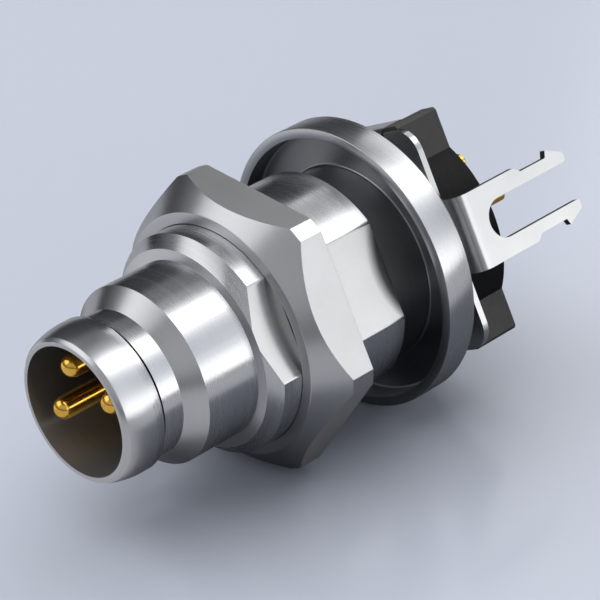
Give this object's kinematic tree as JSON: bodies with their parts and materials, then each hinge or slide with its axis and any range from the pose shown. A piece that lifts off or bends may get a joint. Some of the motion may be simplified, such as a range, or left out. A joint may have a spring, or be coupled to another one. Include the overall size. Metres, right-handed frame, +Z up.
{
  "type": "circular sensor connector",
  "caption": "Round metal sensor plug socket for a panel, with a threaded and snap-in mating end, mounting nut, rear flange, shield plate with solder fork and gold contact pins.",
  "frame": {"origin": "on the connector's axis, in the plane of the flange's front face, where the back of the panel lies", "axes": "+Y along the axis from the mating end to the solder tails, +Z up; the milled flat's normal stands 30 degrees above +X, so a nut flat faces straight up and another straight down"},
  "size_m": [0.0134, 0.024, 0.013],
  "materials": {
    "housing_metal": "nickel plated, turned and brushed round the axis",
    "nut_metal": "nickel plated, turned faces and milled flats",
    "black_moulding": "moulded glass-filled plastic, fine matt grain",
    "seal_rubber": "square-cut moulded rubber",
    "plate_metal": "tin plated sheet, stamped and bent",
    "gold_contact": "gold plated, polished"
  },
  "bodies": {
    "connector": {"housing": "housing_metal", "contact_carrier": "black_moulding", "carrier_seal": "seal_rubber", "shield_plate": "plate_metal", "contact_pin_1": "gold_contact", "contact_pin_3": "gold_contact", "contact_pin_4": "gold_contact"},
    "nut": {"mounting_nut": "nut_metal"}
  },
  "joints": [
    {"name": "nut_travel", "type": "slide", "parent": "connector", "child": "nut", "axis": [0, 1, 0], "range_m": [-0.011, 0.0037]}
  ]
}
